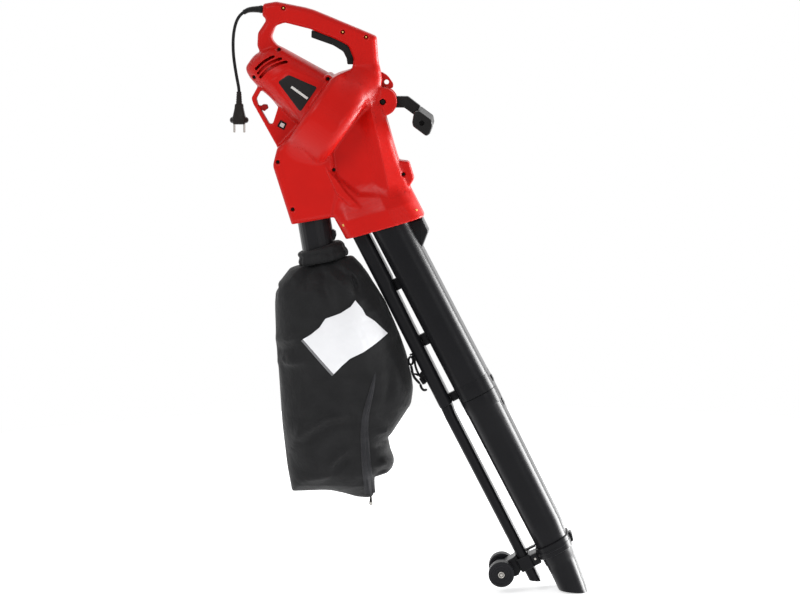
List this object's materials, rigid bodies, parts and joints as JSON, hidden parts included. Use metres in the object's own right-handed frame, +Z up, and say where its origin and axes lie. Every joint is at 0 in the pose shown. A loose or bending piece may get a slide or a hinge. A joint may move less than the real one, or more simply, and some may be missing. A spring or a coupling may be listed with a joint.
{
  "type": "leaf blower vacuum",
  "caption": "Corded hand-held leaf blower vacuum with a motor barrel and fan drum, suction and blow tubes, wheels and a cloth collection bag.",
  "frame": {"origin": "middle of the main grip, on the parting plane of the housing", "axes": "+Z up, +X to the right of the side view towards the tubes, +Y away from the viewer through the thickness"},
  "size_m": [0.6896, 0.188, 1.1372],
  "materials": {
    "red_shell": "red moulded housing plastic with a low sheen",
    "black_plastic": "black moulded plastic",
    "soft_black_plastic": "soft black plastic",
    "grey_plastic": "grey moulded plastic",
    "bag_fabric": "black coated woven cloth",
    "steel": "plain steel",
    "brass": "brass",
    "copper": "copper bars"
  },
  "bodies": {
    "housing": {"housing_near": "red_shell", "housing_far": "red_shell", "motor_cover_near": "red_shell", "motor_cover_far": "red_shell", "bag_duct_near": "red_shell", "bag_duct_far": "red_shell", "tube_collar_near": "red_shell", "tube_collar_far": "red_shell", "hanging_tab": "red_shell", "trigger_pin": "steel", "trigger_spring": "steel", "switch_module": "soft_black_plastic", "cord_clamp": "black_plastic", "suppression_capacitor": "grey_plastic", "motor_stator": "steel", "rear_bearing": "steel", "front_bearing": "steel", "brush_holder_upper": "brass", "brush_holder_lower": "brass", "fan_back_plate": "black_plastic", "strain_relief": "soft_black_plastic", "mains_cord": "soft_black_plastic", "plug_body": "soft_black_plastic", "plug_pin_left": "steel", "plug_pin_right": "steel", "aux_pivot_bolt": "steel", "suction_tube_upper": "black_plastic", "suction_tube_lower": "black_plastic", "blow_tube_upper": "black_plastic", "blow_tube_lower": "black_plastic", "tube_clamp": "black_plastic", "wheel_bracket": "black_plastic", "wheel_axle": "steel", "hub_cap_near": "steel", "hub_cap_far": "steel", "bag_spout": "black_plastic", "bag_collar": "black_plastic", "collection_bag": "bag_fabric", "zip_slider": "steel", "snap_hook": "black_plastic"},
    "trigger": {"trigger": "soft_black_plastic"},
    "selector_lever": {"selector_lever": "red_shell"},
    "mode_flap": {"mode_flap": "black_plastic"},
    "aux_handle": {"aux_handle_arm": "soft_black_plastic", "aux_handle_grip": "soft_black_plastic"},
    "rotor": {"impeller": "grey_plastic", "armature": "steel", "commutator": "copper", "motor_shaft": "steel", "impeller_nut": "steel"},
    "wheel_near": {"wheel_near": "soft_black_plastic"},
    "wheel_far": {"wheel_far": "soft_black_plastic"},
    "zip_puller": {"zip_puller": "steel"},
    "spout_latch": {"spout_latch": "black_plastic"}
  },
  "joints": [
    {"name": "trigger_pull", "type": "hinge", "parent": "housing", "child": "trigger", "pos_m": [0.066, 0, -0.071], "axis": [0, 1, 0], "range_deg": [0, 5.5], "stiffness_Nm_per_rad": 2, "springref_deg": -5.73},
    {"name": "mode_select", "type": "hinge", "parent": "housing", "child": "selector_lever", "pos_m": [-0.1108, 0, -0.165], "axis": [0, -1, 0], "range_deg": [0, 35]},
    {"name": "flap_swing", "type": "hinge", "parent": "housing", "child": "mode_flap", "pos_m": [0.036, 0, -0.35], "axis": [0, -1, 0], "range_deg": [0, 67]},
    {"name": "aux_handle_tilt", "type": "hinge", "parent": "housing", "child": "aux_handle", "pos_m": [0.1255, 0, -0.1515], "axis": [0, -1, 0], "range_deg": [-20, 60]},
    {"name": "rotor_spin", "type": "hinge", "parent": "housing", "child": "rotor", "pos_m": [0.029, 0, -0.177], "axis": [-0.8192, 0, 0.5736], "continuous": true},
    {"name": "wheel_near_roll", "type": "hinge", "parent": "housing", "child": "wheel_near", "pos_m": [0.355, 0, -1.062], "axis": [0, 1, 0], "continuous": true},
    {"name": "wheel_far_roll", "type": "hinge", "parent": "housing", "child": "wheel_far", "pos_m": [0.355, 0, -1.062], "axis": [0, 1, 0], "continuous": true},
    {"name": "zip_puller_swing", "type": "hinge", "parent": "housing", "child": "zip_puller", "pos_m": [0.1004, 0, -0.9192], "axis": [1, 0, 0], "range_deg": [-60, 60]},
    {"name": "spout_latch_press", "type": "slide", "parent": "housing", "child": "spout_latch", "axis": [-0.9869, 0, -0.1616], "range_m": [0, 0.0024], "stiffness_N_per_m": 1500, "springref_m": -0.002}
  ],
  "couplings": [
    {"joint": "flap_swing", "follows": "mode_select", "ratio": 1.9}
  ]
}
